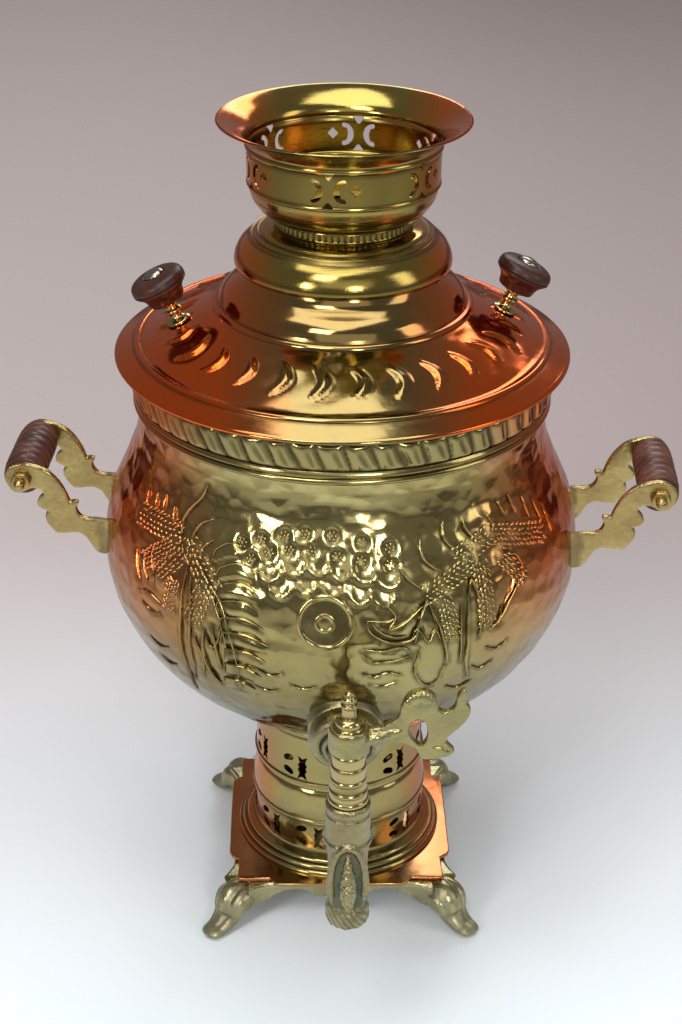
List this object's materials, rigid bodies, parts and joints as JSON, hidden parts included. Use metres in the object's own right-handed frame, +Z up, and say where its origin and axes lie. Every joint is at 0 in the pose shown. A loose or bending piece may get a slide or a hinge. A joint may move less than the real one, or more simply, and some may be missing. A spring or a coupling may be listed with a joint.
{
  "type": "samovar",
  "caption": "Charcoal samovar: round brass urn on a pierced stand with cast feet, lift-off lid, teapot crown, side grips and a plug tap with a turning key.",
  "frame": {"origin": "on the table the feet stand on, under the middle of the whole object's plan", "axes": "+Z up through the urn; -Y is the side the tap points to; +X is the side the closed key points to, and the grips lie to +X and -X"},
  "size_m": [0.3646, 0.324, 0.4605],
  "materials": {
    "sheet_brass": "polished hammered sheet",
    "golden_brass": "turned and polished",
    "cast_brass": "cast, dull, with green-grey patina",
    "flue_brass": "smoke-darkened sheet",
    "grate_iron": "burnt casting",
    "dark_wood": "turned and glossy varnished",
    "knob_cap": "plain domed insert"
  },
  "bodies": {
    "urn": {"base_plate": "sheet_brass", "foot_frame": "cast_brass", "foot_front_left": "cast_brass", "foot_front_right": "cast_brass", "foot_back_left": "cast_brass", "foot_back_right": "cast_brass", "stand_lower": "sheet_brass", "stand_upper": "sheet_brass", "belly": "sheet_brass", "belly_floor": "flue_brass", "collar": "sheet_brass", "fire_tube": "flue_brass", "grate": "grate_iron", "bracket_left_front": "cast_brass", "bracket_left_back": "cast_brass", "bracket_right_front": "cast_brass", "bracket_right_back": "cast_brass", "grip_left": "dark_wood", "grip_right": "dark_wood", "rod_left": "cast_brass", "rod_right": "cast_brass", "handle_nuts": "cast_brass", "tap_flange": "cast_brass", "tap_body": "cast_brass"},
    "lid_body": {"lid": "sheet_brass", "lid_spigot": "sheet_brass", "knob_stem_left": "golden_brass", "knob_stem_right": "golden_brass", "knob_left": "dark_wood", "knob_right": "dark_wood", "knob_caps": "knob_cap", "knob_nuts": "golden_brass"},
    "crown_body": {"crown_bowl": "golden_brass", "crown_ring": "golden_brass", "crown_dome": "sheet_brass", "crown_sleeve": "flue_brass"},
    "key_body": {"key_plug": "golden_brass", "key_handle": "cast_brass"}
  },
  "joints": [
    {"name": "lid_lift", "type": "slide", "parent": "urn", "child": "lid_body", "axis": [0, 0, 1], "range_m": [0, 0.1]},
    {"name": "crown_lift", "type": "slide", "parent": "lid_body", "child": "crown_body", "axis": [0, 0, 1], "range_m": [0, 0.08]},
    {"name": "key_turn", "type": "hinge", "parent": "urn", "child": "key_body", "pos_m": [0, -0.1456, 0.1735], "axis": [0, 0, 1], "range_deg": [-90, 0]}
  ]
}
